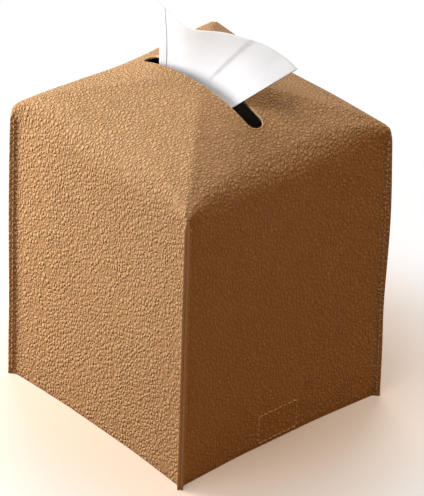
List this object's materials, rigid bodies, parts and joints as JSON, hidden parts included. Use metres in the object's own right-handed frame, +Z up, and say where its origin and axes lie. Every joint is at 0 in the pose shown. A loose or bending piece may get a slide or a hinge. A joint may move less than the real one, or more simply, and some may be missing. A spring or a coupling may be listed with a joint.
{
  "type": "tissue box cover",
  "caption": "Square leather tissue box cover with a soft crowned top, a dispensing slot, flanged corner seams and a strap across its open foot that holds a refill carton.",
  "frame": {"origin": "middle of the foot, on the surface that the cover stands on", "axes": "+Z up, -Y out of the front wall, the slot and the bottom strap run along X"},
  "size_m": [0.129, 0.129, 0.197],
  "materials": {
    "leather": "pebbled grain, semi-matt",
    "strap_leather": "pebbled grain, semi-matt",
    "suede": "napped suede",
    "greyboard": "bare grey board",
    "thread": "bonded sewing thread",
    "box_thread": "bonded sewing thread",
    "loop_tape": "loop pile",
    "hook_tape": "moulded hooks",
    "carton_card": "folding boxboard",
    "film": "clear film",
    "tissue_paper": "soft crepe tissue"
  },
  "bodies": {
    "cover": {"leather_skin": "leather", "top_lining": "suede", "front_board": "greyboard", "front_lining": "suede", "right_board": "greyboard", "right_lining": "suede", "rear_board": "greyboard", "rear_lining": "suede", "left_board": "greyboard", "left_lining": "suede", "front_left_stitching": "thread", "front_right_stitching": "thread", "rear_right_stitching": "thread", "rear_left_stitching": "thread", "strap_anchor": "strap_leather", "tab_anchor": "strap_leather", "strap_stitching": "box_thread", "tab_stitching": "box_thread", "refill_carton": "carton_card", "mouth_film": "film", "tissue_stack": "tissue_paper"},
    "strap": {"bottom_strap": "strap_leather", "loop_patch": "loop_tape"},
    "tab": {"closing_tab": "strap_leather", "hook_patch": "hook_tape"},
    "tissue": {"tissue_sheet": "tissue_paper"}
  },
  "joints": [
    {"name": "strap_swing", "type": "hinge", "parent": "cover", "child": "strap", "pos_m": [0.0557, 0, 0.001], "axis": [0, -1, 0], "range_deg": [0, 95]},
    {"name": "tab_swing", "type": "hinge", "parent": "cover", "child": "tab", "pos_m": [-0.0557, 0, 0.0042], "axis": [0, 1, 0], "range_deg": [0, 86]},
    {"name": "tissue_pull", "type": "slide", "parent": "cover", "child": "tissue", "axis": [0, 0, 1], "range_m": [0, 0.05]}
  ],
  "couplings": [
    {"joint": "tab_swing", "follows": "strap_swing", "ratio": 0.9}
  ]
}
